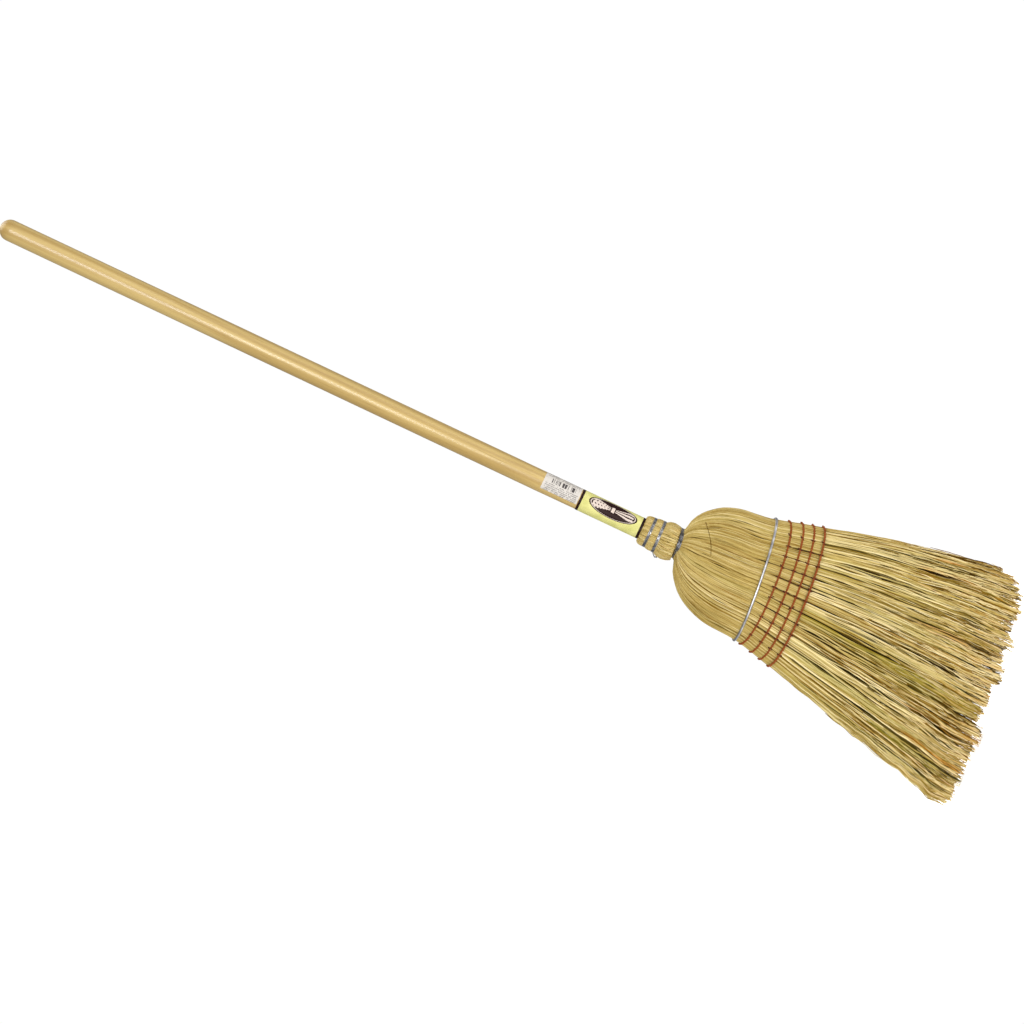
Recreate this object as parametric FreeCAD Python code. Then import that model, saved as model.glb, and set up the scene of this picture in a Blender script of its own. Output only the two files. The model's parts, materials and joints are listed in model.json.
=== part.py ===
import FreeCAD, Part
import math
import os

# Corn broom: wooden handle, wire-bound broomcorn head, flat skirt stitched in four rows.
# Millimetres. +Z runs up the handle, X across the width of the head, Y through its thickness.
# The origin is on the handle's axis, level with the lowest trimmed tip.

V = FreeCAD.Vector

# ---- driving dimensions ----
total_length = 1448.0
handle_radius = 14.3
handle_taper_start = 665.0       # below this the stick narrows into the head
handle_end = 340.0               # lower end of the stick, inside the core
waist_height = 468.0             # the narrowest place of the head
head_slant = 5.2                 # degrees: the head is built and trimmed on the slant
label_bottom, label_top = 519.5, 610.0
sticker_bottom, sticker_top = 611.0, 663.0
sticker_from, sticker_sweep = -35.0, 140.0   # degrees round the stick, from the front
paper_thickness = 0.16

core_neck_radius = 15.0          # inside corn where it is bound to the stick
core_neck_top = 480.0
hurl_thickness = 5.0
neck_wire_radius = 0.65
band_wire_radius = 1.5
twine_radius = 1.2

flex_height = 258.0              # axis about which the skirt bends
skirt_top_radius = 21.7
flex_gap = 0.3
lip_height = 10.0                # head's lower edge above the flex axis
lock_gap = 0.3
fan_apex_height = 697.0          # the straws fan out from here

# Sections of the head, each parallel to the slanted trim:
# drop below the waist, centre, half width, half thickness.
head_sections = [
    (-3, 2.6, 19.4, 19.0), (4, 1.4, 31.2, 22), (12, 1.8, 45.6, 26), (25, 1.2, 59.6, 29.5),
    (45, 1.9, 71.6, 31.5), (70, 1.9, 78.6, 31), (100, 2.6, 81.2, 28), (117, 4.0, 84, 25.5),
    (140, 4.8, 90, 22.5), (185, 5.3, 101.6, 20.8), (215, 5.7, 110, 21.6),
    (260, 5.6, 121.4, 24.0), (320, 4.2, 134.6, 27.2), (380, 2.2, 146.8, 29.6), (425, -1.0, 155, 30.8),
    (468, -1.4, 158.2, 31.4),
]
# The core of inside corn: drop, centre, half width, half thickness.
core_sections = [
    (4, 2.0, 16.6, 16.0), (18, 0, 21, 18), (45, 0, 32, 20), (80, 0, 39, 19), (120, 0, 43, 15.5),
    (160, 0, 48, 12.5), (215, 0, 56, 12.5),
]
# Half of the collar's outline, radius and height.
collar_outline = [
    (16.2, 519.3), (18.6, 516.8), (20.2, 511.5), (20.4, 505.0), (21.5, 500.5), (21.6, 492.6),
    (23.2, 489.5), (24.8, 485.0), (24.9, 479.5), (23.6, 474.0), (22.0, 472.4), (19.4, 470.8),
]
# Boundaries of the ten locks at the trimmed edge, and how far each lock's tips stand off it.
lock_edges = [-165, -123, -88, -52, -19, 10, 40, 72, 101, 129, 165]
lock_lifts = [0, 0.8, -2.5, 3.2, 0.5, -2.8, 1.5, 4.8, 2.6, 8.5]
trim_start = -158.3              # the trimmed edge rises to the right from here

# Stitch rows: height at the middle of the front, half width and half depth of the wrap.
stitch_rows = [(330.7, 85.4, 23.2), (314.3, 88.8, 22.3), (299.9, 92.6, 21.8), (286.0, 96.2, 21.6)]
row_centre = 5.6
row_slant = 3.4                  # degrees
row_rise = 14.5                  # how much the wrap climbs towards the edges
tie_shares = [0.158 * k for k in range(-5, 6)]   # places of the ties, as shares of the half width
row_end_radius = 9.0
tie_radius, tick_radius = 0.9, 1.1
tick_overrun = 1.2               # how far a tie's face stitch runs past its two strands

slant = math.radians(head_slant)
across = V(math.cos(slant), 0, math.sin(slant))
straight_up = V(0, 0, 1)


def revolve(points):
    """Solid of revolution about the handle's axis from a closed outline of (radius, height)."""
    corners = [V(r, 0, z) for r, z in points]
    face = Part.Face(Part.makePolygon(corners + corners[:1]))
    return face.revolve(V(0, 0, 0), straight_up, 360)


def section(drop, centre, half_width, half_thickness):
    """One slanted elliptical section of the head."""
    middle = V(centre, 0, waist_height - drop + centre * math.tan(slant))
    ellipse = Part.Ellipse(middle + across * half_width, middle + V(0, half_thickness, 0), middle)
    return Part.Wire([ellipse.toShape()])


def body_of_corn(sections, inset=0.0):
    """Smooth solid through the sections, drawn in by an inset."""
    wires = [section(d, c, a - inset, b - inset) for d, c, a, b in sections]
    return Part.makeLoft(wires, True, False)


def slanted(shape, height, lean=0.0, centre=0.0, degrees=head_slant):
    """Turn a shape drawn about the origin on to a slant, then move it aside and up to a height."""
    shape.rotate(V(0, 0, 0), V(1, 0, 0), lean)
    shape.rotate(V(0, 0, 0), V(0, 1, 0), -degrees)
    shape.translate(V(centre, 0, height))
    return shape


def half_space(height, above):
    """Large block above or below a slanted plane that crosses the axis at a height."""
    block = Part.makeBox(500, 200, 400, V(-250, -100, 0 if above else -400))
    return slanted(block, height)


def cylinder_across(radius, length, height):
    """Cylinder about a slanted line across the head."""
    bar = Part.makeCylinder(radius, length, V(-length / 2, 0, 0), V(1, 0, 0))
    return slanted(bar, height)


def oval_segments(half_width, half_depth, end_radius, wire_radius):
    """Front half of a four-arc oval of wire, as three exact torus segments."""
    run = half_width - end_radius
    front_radius = (run ** 2 + half_depth ** 2 - end_radius ** 2) / (2 * (half_depth - end_radius))
    turn = math.degrees(math.atan2(run, front_radius - half_depth))
    arcs = [
        (end_radius, V(-run, 0, 0), 180, 90 - turn),
        (front_radius, V(0, front_radius - half_depth, 0), 270 - turn, 2 * turn),
        (end_radius, V(run, 0, 0), 270 + turn, 90 - turn),
    ]
    segments = []
    for radius, centre, start, sweep in arcs:
        torus = Part.makeTorus(radius, wire_radius, V(0, 0, 0), straight_up, -180, 180, sweep)
        torus.rotate(V(0, 0, 0), straight_up, start)
        torus.translate(centre)
        segments.append(torus)
    return segments


def joined(shapes):
    """One clean shape from several."""
    return shapes[0].multiFuse(shapes[1:]).removeSplitter()


def wire_ring(radius, wire_radius, turns):
    """Turns of a binding wire, side by side."""
    pitch = 2 * wire_radius + 0.04
    starts = [pitch * (i - (turns - 1) / 2) for i in range(turns)]
    return Part.Compound([Part.makeTorus(radius, wire_radius, V(0, 0, z)) for z in starts])


def export(name, shape):
    """Write one node, and report its solids and volume."""
    shape.exportStep(f"parts/{name}.step")
    print(f"{name}: {len(shape.Solids)} solid(s), {shape.Volume / 1000:.1f} cm3, valid {shape.isValid()}")


def make_handle():
    """Turned stick: domed top, straight grip, tapered end inside the head."""
    dome_base = total_length - handle_radius
    top = V(0, 0, total_length)
    shoulder = V(handle_radius, 0, dome_base)
    on_dome = V(handle_radius * math.sin(math.pi / 4), 0, dome_base + handle_radius * math.cos(math.pi / 4))
    below = [(handle_radius, handle_taper_start), (14.0, label_bottom), (12.6, waist_height),
             (9.0, handle_end + 6), (6.5, handle_end), (0, handle_end)]
    corners = [shoulder] + [V(r, 0, z) for r, z in below] + [top]
    edges = [Part.makeLine(a, b) for a, b in zip(corners, corners[1:])]
    edges.append(Part.Arc(top, on_dome, shoulder).toShape())
    return Part.Face(Part.Wire(edges)).revolve(V(0, 0, 0), straight_up, 360)


def paper(bottom, top, stick, start=0.0, sweep=360.0):
    """Paper wrapped on the stick."""
    radius = handle_radius + paper_thickness
    sheet = Part.makeCylinder(radius, top - bottom, V(0, 0, bottom), straight_up, sweep)
    sheet.rotate(V(0, 0, 0), straight_up, start)
    return sheet.cut(stick)


def stitch_wrap(height, half_width, half_depth):
    """One row's wrap: a front and a back run that climb to meet at both edges."""
    lean = math.degrees(math.atan2(row_rise, half_depth))
    depth = math.hypot(half_depth, row_rise)
    front = Part.Compound(oval_segments(half_width, depth, row_end_radius, twine_radius))
    back = front.copy()
    back.rotate(V(0, 0, 0), straight_up, 180)
    front.rotate(V(0, 0, 0), V(1, 0, 0), lean)
    back.rotate(V(0, 0, 0), V(1, 0, 0), -lean)
    knuckles = [Part.makeSphere(twine_radius + 0.1, V(x, 0, 0)) for x in (-half_width, half_width)]
    wrap = joined(front.Solids + back.Solids + knuckles)
    return slanted(wrap, height + row_rise, 0.0, row_centre, row_slant)


def stitch_tie(height, half_width, half_depth, x):
    """One tie: a loop of twine through the head that crosses the wrap on both faces."""
    share = math.sqrt(1 - (x / half_width) ** 2)
    reach = half_depth * share + 2 * twine_radius
    level = row_rise * (1 - share)
    half = twine_radius * 2 + 0.1
    through = [Part.makeCylinder(tie_radius, 2 * reach, V(x, -reach, level + dz), V(0, 1, 0))
               for dz in (-half, half)]
    ticks = [Part.makeCylinder(tick_radius, 2 * (half + tick_overrun), V(x, y, level - half - tick_overrun))
             for y in (-reach, reach)]
    return slanted(joined(through + ticks), height, 0.0, row_centre, row_slant)


os.makedirs("parts", exist_ok=True)

# handle and papers
handle = make_handle()
export("handle", handle)
export("wrap_label", paper(label_bottom, label_top, handle))
export("info_sticker", paper(sticker_bottom, sticker_top, handle, sticker_from - 90, sticker_sweep))

# corn of the head, from the core outwards
above_flex = half_space(flex_height + lip_height, True)
socket = cylinder_across(skirt_top_radius + flex_gap, 400, flex_height)
outer = body_of_corn(head_sections)
inner = body_of_corn(head_sections[1:], hurl_thickness)
core = body_of_corn(core_sections)
core_neck = revolve([(0, core_neck_top), (core_neck_radius, core_neck_top),
                     (core_neck_radius, waist_height - 8), (0, waist_height - 8)])
core = core.fuse(core_neck)
head = outer.common(above_flex).cut(socket)
left_side = Part.makeBox(300, 200, 600, V(-300, -100, 100))
right_side = Part.makeBox(300, 200, 600, V(0, -100, 100))
front_side = Part.makeBox(600, 100, 600, V(-300, -100, 100))
back_side = Part.makeBox(600, 100, 600, V(-300, 0, 100))

export("inside_corn", head.fuse(core_neck).common(core).cut(handle))
packing = head.common(inner).cut(core)
export("shoulder_corn_left", packing.common(left_side))
export("shoulder_corn_right", packing.common(right_side))
hurl = head.cut(inner).cut(core).cut(handle)
export("hurl_front", hurl.common(front_side))
export("hurl_back", hurl.common(back_side))
collar = revolve([(0, 519.3)] + collar_outline + [(0, collar_outline[-1][1])])
export("collar_stalks", collar.cut(core_neck).cut(handle).cut(outer))

# binding wires and tacks
inner_heights = (466, 470, 474, 478)
inner_turns = [Part.makeTorus(core_neck_radius, neck_wire_radius, V(0, 0, z)) for z in inner_heights]
export("inner_binding_wire", Part.Compound(inner_turns))
for name, height, outer_radius, turns, centre, degrees in (
        ("neck_wire_upper", 508.0, 20.9, 3, 0.0, -1.0),
        ("neck_wire_middle", 495.0, 22.3, 3, 0.0, 0.5),
        ("neck_wire_waist", 468.0, 20.8, 4, 3.0, 5.5)):
    ring = wire_ring(outer_radius - neck_wire_radius, neck_wire_radius, turns)
    export(name, slanted(ring, height, 0.0, centre, degrees))
for name, height, head_at, angle, length in (
        ("wire_start_tack", 476.0, 16.6, 200.0, 10.0),
        ("wire_end_tack", 487.0, 25.6, 176.0, 17.0)):
    shank = Part.makeCylinder(0.7, length, V(head_at - length, 0, height), V(1, 0, 0))
    cap = Part.makeCone(2.0, 1.5, 0.8, V(head_at, 0, height), V(1, 0, 0))
    tack = joined([shank, cap])
    tack.rotate(V(0, 0, 0), straight_up, angle)
    export(name, tack)

# shoulder band: a leaning loop of thicker wire, its ends twisted together at the back
band_lean, band_slant, band_height, band_centre = 14.0, 6.2, 357.5, 5.0
band_half_width, band_half_depth, band_end_radius = 83.0, 26.6, 14.0
half_band = oval_segments(band_half_width, band_half_depth, band_end_radius, band_wire_radius)
half_band = Part.Compound(half_band)
other_half = half_band.copy()
other_half.rotate(V(0, 0, 0), straight_up, 180)
twist_length = 22.0
twisted_ends = []
for y, side in ((1.2, 1.4), (2.4, -1.4)):
    start = V(-twist_length / 2, band_half_depth + y, -side)
    twisted_ends.append(Part.makeCylinder(band_wire_radius - 0.1, twist_length, start, V(1, 0, side / 9)))
band = joined(half_band.Solids + other_half.Solids + twisted_ends)
export("shoulder_band", slanted(band, band_height, band_lean, band_centre, band_slant))

# stitches
for i, (height, half_width, half_depth) in enumerate(stitch_rows):
    wrap = stitch_wrap(height, half_width, half_depth)
    ties = [stitch_tie(height, half_width, half_depth, half_width * share) for share in tie_shares]
    export(f"stitch_row_{i + 1}", Part.Compound([wrap] + ties))

# skirt: ten locks of straw that bend together about the flex axis
roof = 320.0                     # above the top of every lock
rounded_top = cylinder_across(skirt_top_radius, 400, flex_height)
skirt = outer.common(half_space(flex_height, False).fuse(rounded_top))


def fan_x(edge, height):
    """Where a lock's boundary, named by its place at the trimmed edge, stands at a height."""
    return edge * (fan_apex_height - height) / fan_apex_height


for i, lift in enumerate(lock_lifts):
    left, right = lock_edges[i], lock_edges[i + 1]
    gap_left = lock_gap / 2 if i else 0
    gap_right = lock_gap / 2 if i < len(lock_lifts) - 1 else 0
    foot_left = lift + (left - trim_start) * math.tan(slant)
    foot_right = lift + (right - trim_start) * math.tan(slant)
    outline = [
        V(fan_x(left, foot_left) + gap_left, -100, foot_left),
        V(fan_x(right, foot_right) - gap_right, -100, foot_right),
        V(fan_x(right, roof) - gap_right, -100, roof),
        V(fan_x(left, roof) + gap_left, -100, roof),
    ]
    wedge = Part.Face(Part.makePolygon(outline + outline[:1])).extrude(V(0, 200, 0))
    export(f"skirt_lock_{i + 1:02d}", skirt.common(wedge))
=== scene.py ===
import json
import math
import bpy
import numpy as np
from mathutils import Matrix, Vector


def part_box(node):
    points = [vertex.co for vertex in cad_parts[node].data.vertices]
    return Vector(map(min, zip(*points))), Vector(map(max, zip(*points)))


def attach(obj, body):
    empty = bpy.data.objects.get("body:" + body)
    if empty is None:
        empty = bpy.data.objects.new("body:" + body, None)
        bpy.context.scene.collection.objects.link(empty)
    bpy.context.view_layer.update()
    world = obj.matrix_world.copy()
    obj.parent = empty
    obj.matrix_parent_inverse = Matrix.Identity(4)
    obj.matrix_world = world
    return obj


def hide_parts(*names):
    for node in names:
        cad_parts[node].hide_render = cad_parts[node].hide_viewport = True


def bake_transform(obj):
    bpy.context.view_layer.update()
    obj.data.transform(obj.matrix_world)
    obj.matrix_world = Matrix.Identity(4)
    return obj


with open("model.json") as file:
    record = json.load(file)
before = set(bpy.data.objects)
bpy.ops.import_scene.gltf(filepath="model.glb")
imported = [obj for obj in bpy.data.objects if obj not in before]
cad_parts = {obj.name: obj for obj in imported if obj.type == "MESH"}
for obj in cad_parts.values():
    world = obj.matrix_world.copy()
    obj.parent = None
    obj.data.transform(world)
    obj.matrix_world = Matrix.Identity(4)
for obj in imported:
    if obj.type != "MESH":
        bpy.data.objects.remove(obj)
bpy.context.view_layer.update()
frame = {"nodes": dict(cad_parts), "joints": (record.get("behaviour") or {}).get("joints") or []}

rng = np.random.default_rng(57)
flex = frame["joints"][0]
slope = flex["axis"][2] / flex["axis"][0]   # the rows, the bands and the trimmed edge all rise to the right
mm = 0.001

# ---- camera and light ----
view = {
    "lens": 200.0, "distance": 7.447, "lookAt": (-0.0528, 0.0, 0.6825),
    "handleOnScreen": (-0.9042, 0.4271),   # which way the stick points in the frame
    "keyPower": 158.0, "keyPlace": (-0.5, -4.4, 1.7), "keySize": 1.8,
    "fillPower": 26.0, "fillPlace": (2.6, -2.4, 0.6), "fillSize": 2.0,
    "topPower": 60.0, "topPlace": (0.4, 0.8, 3.6), "topSize": 2.4,
    "skyLight": 0.42, "aimHeight": 0.5,
}


def makeCamera():
    # the camera looks along +Y, rolled until the stick, which stands on Z, points that way in the frame
    sx, sy = view["handleOnScreen"]
    cam = bpy.data.objects.new("camera", bpy.data.cameras.new("camera"))
    bpy.context.scene.collection.objects.link(cam)
    cam.data.lens = view["lens"]
    cam.data.clip_end = 60
    x, y, z = view["lookAt"]
    cam.matrix_world = Matrix(((sy, -sx, 0, x), (0, 0, -1, y - view["distance"]),
                               (sx, sy, 0, z), (0, 0, 0, 1)))
    bpy.context.scene.camera = cam


def makeLamp(name, power, place, size):
    # a square lamp turned towards a point part way up the broom
    lamp = bpy.data.objects.new(name, bpy.data.lights.new(name, "AREA"))
    bpy.context.scene.collection.objects.link(lamp)
    lamp.data.energy, lamp.data.size = power, size
    lamp.location = place
    aim = Vector((0, 0, view["aimHeight"])) - Vector(place)
    lamp.rotation_euler = aim.to_track_quat("-Z", "Y").to_euler()


def makeWorld():
    # white to the camera, and a softer sky for everything that bounces
    world = bpy.data.worlds.new("studio")
    bpy.context.scene.world = world
    world.use_nodes = True
    tree = world.node_tree
    path = tree.nodes.new("ShaderNodeLightPath")
    strength = tree.nodes.new("ShaderNodeMix")
    strength.inputs["A"].default_value = view["skyLight"]
    strength.inputs["B"].default_value = 1.02
    tree.links.new(path.outputs["Is Camera Ray"], strength.inputs["Factor"])
    sky = tree.nodes["Background"]
    sky.inputs["Color"].default_value = (1, 1, 1, 1)
    tree.links.new(strength.outputs["Result"], sky.inputs["Strength"])
    bpy.context.scene.view_settings.view_transform = "Standard"


makeCamera()
makeWorld()
for name in ("key", "fill", "top"):
    makeLamp(name, view[name + "Power"], view[name + "Place"], view[name + "Size"])
print("camera and light made")


# ---- shaders ----
def srgb(r, g, b):
    # linear = ((c + 0.055) / 1.055) ^ 2.4 for each channel from 0 to 255, and c / 12.92 when very dark
    c = [v / 255 for v in (r, g, b)]
    return tuple(v / 12.92 if v < 0.04045 else ((v + 0.055) / 1.055) ** 2.4 for v in c) + (1.0,)


class Wire:   # one shader socket: sums and products on it add Math nodes
    def __init__(self, paint, socket):
        self.paint, self.socket = paint, socket

    def calc(self, operation, *terms):
        return self.paint.node("ShaderNodeMath", {"operation": operation}, dict(enumerate(terms)))

    def __add__(self, other):
        return self.calc("ADD", self, other)

    def __radd__(self, other):
        return self.calc("ADD", other, self)

    def __sub__(self, other):
        return self.calc("SUBTRACT", self, other)

    def __rsub__(self, other):
        return self.calc("SUBTRACT", other, self)

    def __mul__(self, other):
        return self.calc("MULTIPLY", self, other)

    def __rmul__(self, other):
        return self.calc("MULTIPLY", other, self)

    def __truediv__(self, other):
        return self.calc("DIVIDE", self, other)

    def __rtruediv__(self, other):
        return self.calc("DIVIDE", other, self)

    def __pow__(self, other):
        return self.calc("POWER", self, other)

    def __abs__(self):
        return self.calc("ABSOLUTE", self)

    def __gt__(self, other):
        return self.calc("GREATER_THAN", self, other)

    def __lt__(self, other):
        return self.calc("LESS_THAN", self, other)

    def sin(self):
        return self.calc("SINE", self)

    def floor(self):
        return self.calc("FLOOR", self)

    def most(self, other):
        return self.calc("MAXIMUM", self, other)

    def ramp(self, low, high):   # 0 at low, 1 at high, held outside
        return self.paint.node("ShaderNodeMapRange", {"interpolation_type": "SMOOTHSTEP"},
                               {"Value": self, "From Min": low, "From Max": high})


class Paint:   # one material; node() adds any node with its settings and inputs
    def __init__(self, name):
        self.material = bpy.data.materials.new(name)
        self.material.use_nodes = True
        self.tree = self.material.node_tree
        self.shader = self.tree.nodes["Principled BSDF"]
        self.place = self.node("ShaderNodeTexCoord", out="Object")

    def put(self, target, value):
        if isinstance(value, Wire):
            self.tree.links.new(value.socket, target)
        else:
            target.default_value = value

    def node(self, kind, settings=None, inputs=None, out=0):
        made = self.tree.nodes.new(kind)
        for key, value in (settings or {}).items():
            setattr(made, key, value)
        for key, value in (inputs or {}).items():
            self.put(made.inputs[key], value)
        return Wire(self, made.outputs[out])

    def mix(self, amount, a, b, blend="MIX"):
        return self.node("ShaderNodeMix", {"data_type": "RGBA", "blend_type": blend, "clamp_result": True},
                         {0: amount, 6: a, 7: b}, out=2)

    def scaled(self, x, y, z):
        return self.node("ShaderNodeVectorMath", {"operation": "MULTIPLY"}, {0: self.place, 1: (x, y, z)})

    def noise(self, vector, scale, detail=3.0, rough=0.55):
        return self.node("ShaderNodeTexNoise", {}, {"Vector": vector, "Scale": scale, "Detail": detail,
                                                    "Roughness": rough})

    def attribute(self, name):
        return self.node("ShaderNodeAttribute", {"attribute_name": name}, out="Fac")

    def axes(self):
        parts = self.tree.nodes.new("ShaderNodeSeparateXYZ")
        self.put(parts.inputs[0], self.place)
        return [Wire(self, parts.outputs[i]) for i in range(3)]

    def finish(self, colour, roughness, bump=None, bumpHeight=0.0002, **plain):
        self.put(self.shader.inputs["Base Color"], colour)
        self.put(self.shader.inputs["Roughness"], roughness)
        for key, value in plain.items():
            self.put(self.shader.inputs[key.replace("_", " ")], value)
        if bump is not None:
            relief = {"Height": bump, "Distance": bumpHeight, "Strength": 1.0}
            normal = self.node("ShaderNodeBump", {}, relief)
            self.put(self.shader.inputs["Normal"], normal)
        return self.material


# gap is near black: the painted shade inside open gaps and the fill, and also the darkest straw tone
strawColours = {
    "gap": srgb(26, 14, 0), "brown": srgb(122, 86, 14), "mid": srgb(181, 158, 92),
    "pale": srgb(230, 213, 162), "green": srgb(150, 140, 50), "orange": srgb(190, 122, 30),
}


def paintStraw(name):
    # colour goes from gap through brown and mid to pale by level = the straw's own tone + streaks + blotches
    p = Paint(name)
    streak = p.noise(p.scaled(900, 900, 26), 1.0, 3.0)
    blotch = p.noise(p.scaled(60, 60, 14), 1.0, 2.0)
    level = p.attribute("tone") + (streak - 0.5) * 0.4 + (blotch - 0.5) * 0.2
    colour = p.mix(level.ramp(-0.1, 0.32), strawColours["gap"], strawColours["brown"])
    colour = p.mix(level.ramp(0.2, 0.58), colour, strawColours["mid"])
    colour = p.mix(level.ramp(0.5, 1.0), colour, strawColours["pale"])
    colour = p.mix(p.attribute("green") * (0.45 + blotch * 0.6), colour, strawColours["green"])
    colour = p.mix(p.attribute("warm") * (0.5 + streak * 0.6), colour, strawColours["orange"])
    # painted shade: where the gap attribute is set, in open gaps and the fill, the straw goes near black
    colour = p.mix(p.attribute("gap") * 0.96, colour, strawColours["gap"])
    ridges = p.noise(p.scaled(2600, 2600, 60), 1.0, 2.0)
    return p.finish(colour, 0.66 - streak * 0.16, bump=ridges, bumpHeight=0.00018, Specular_IOR_Level=0.06)


def paintPacking():
    # the hidden packing shows only through gaps: fine upright stripes, painted darker as shade
    p = Paint("packingStraw")
    stripes = p.noise(p.scaled(700, 700, 12), 1.0, 3.0)
    colour = p.mix(stripes.ramp(0.3, 0.7), srgb(70, 48, 14), srgb(150, 122, 60))
    return p.finish(colour, 0.8, bump=stripes, bumpHeight=0.0006)


wood = {
    "light": srgb(198, 171, 108), "mid": srgb(175, 145, 84), "dark": srgb(134, 100, 48),
    "grainAcross": 190.0, "grainAlong": 3.2, "poreAcross": 1300.0, "poreAlong": 14.0,
}


def paintWood():
    # long grain = noise stretched up the stick, cut into rings by a sine, with short darker pores
    p = Paint("lacqueredWood")
    x, y, z = p.axes()
    drift = p.noise(p.scaled(9, 9, 1.1), 1.0, 2.0)
    rings = (x * 520 + y * 300 + drift * 26).sin() * 0.5 + 0.5
    grain = p.noise(p.scaled(wood["grainAcross"], wood["grainAcross"], wood["grainAlong"]), 1.0, 5.0)
    pores = p.noise(p.scaled(wood["poreAcross"], wood["poreAcross"], wood["poreAlong"]), 1.0, 2.0)
    patches = p.noise(p.scaled(16, 16, 5), 1.0, 2.0)
    level = rings * 0.35 + grain * 0.65
    colour = p.mix(level.ramp(0.25, 0.75), wood["mid"], wood["light"])
    colour = p.mix(pores.ramp(0.58, 0.74) * 0.55, colour, wood["dark"])
    colour = p.mix(patches.ramp(0.55, 0.8) * 0.35, colour, wood["dark"])
    colour = p.mix(z.ramp(1.425, 1.446) * 0.35, colour, wood["dark"])
    return p.finish(colour, 0.34 + pores * 0.12, bump=grain * 0.6 + pores * 0.4, bumpHeight=0.00012,
                    Coat_Weight=0.22, Coat_Roughness=0.14, Specular_IOR_Level=0.35)


def paintSteel(name, light, dark, roughness):
    # drawn wire: cool grey with faint dull patches of zinc
    p = Paint(name)
    patches = p.noise(p.scaled(120, 120, 120), 1.0, 3.0)
    colour = p.mix(patches.ramp(0.35, 0.7), dark, light)
    return p.finish(colour, roughness + patches * 0.12, bump=patches, bumpHeight=0.000004, Metallic=1.0)


def paintTwine():
    # waxed twine: rust brown, lighter and darker by fine fibre noise and in broad patches
    p = Paint("waxedTwine")
    fibre = p.noise(p.scaled(1500, 1500, 1500), 1.0, 3.0)
    patches = p.noise(p.place, 90.0, 2.0)
    colour = p.mix(fibre.ramp(0.3, 0.7), srgb(100, 46, 12), srgb(154, 78, 26))
    colour = p.mix(patches.ramp(0.5, 0.85) * 0.45, colour, srgb(174, 98, 42))
    # painted shade: the ticks are darker than the wrap of the same twine
    colour = p.mix(p.attribute("tick") * 0.85, colour, srgb(64, 24, 8))
    return p.finish(colour, 0.75, bump=fibre, bumpHeight=0.0003, Specular_IOR_Level=0.25)


labelStyle = {
    "paper": srgb(212, 207, 134), "shade": srgb(194, 191, 114), "ink": srgb(34, 8, 6),
    "cream": srgb(212, 196, 184), "border": 0.0035, "turn": 0.40, "badge": (0.0122, 0.0345),
    "sheafHeight": 0.058, "sheafWidth": 0.0085,
}


def paintLabel():
    # sideways = radius * angle round the stick; a dark oval holds a sheaf, stalks fanned from a tie
    p = Paint("printedLabel")
    s = labelStyle
    low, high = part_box("wrap_label")
    x, y, z = p.axes()
    angle = p.node("ShaderNodeMath", {"operation": "ARCTAN2"}, {0: x, 1: 0 - y})
    aside = (angle - s["turn"]) * high.x
    up = z - (low.z + high.z) / 2 + 0.001
    wide, tall = s["badge"]
    oval = (aside / wide) ** 2.0 + (up / tall) ** 2.0
    height = abs(up) / (s["sheafHeight"] / 2)
    spread = s["sheafWidth"] * (0.22 + 0.78 * (height ** 1.3)) * (1.0 - 0.35 * (height.ramp(0.7, 1.0)))
    sheaf = (abs(aside) < spread) * (height < 1.0)
    stalks = ((aside / (spread + 0.0004)) * 9.0).sin() > -0.35
    ears = ((up * 1400.0 + abs(aside) * 900.0).sin() > -0.3) * (up > 0.008)
    tie = (abs(up) < 0.0036) * (abs(aside) < 0.0048)
    tieHeart = (abs(up) < 0.0022) * (abs(aside) < 0.0036)
    grain = p.noise(p.scaled(500, 500, 500), 1.0, 2.0)
    fade = p.noise(p.scaled(90, 90, 60), 1.0, 2.0)
    colour = p.mix(fade.ramp(0.3, 0.7), s["shade"], s["paper"])
    colour = p.mix(oval < 1.0, colour, s["ink"])
    colour = p.mix((oval > 0.80) * (oval < 0.88) * 0.85, colour, s["cream"])
    colour = p.mix(sheaf * stalks.most(ears) * 0.95, colour, s["cream"])
    colour = p.mix(tie, colour, s["ink"])
    colour = p.mix(tieHeart, colour, s["cream"])
    edges = (z < (low.z + s["border"])).most(z > (high.z - s["border"]))
    colour = p.mix(edges, colour, s["ink"])
    return p.finish(colour, 0.42 + grain * 0.1, bump=grain, bumpHeight=0.00004,
                    Coat_Weight=0.03, Coat_Roughness=0.2, Specular_IOR_Level=0.15)


stickerStyle = {
    "paper": srgb(212, 206, 198), "shade": srgb(190, 184, 176), "ink": srgb(52, 46, 48),
    "barsFrom": 0.0040, "barsTo": 0.0110, "barPitch": 0.0007, "lines": 0.0024, "word": 0.0017,
}


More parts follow.
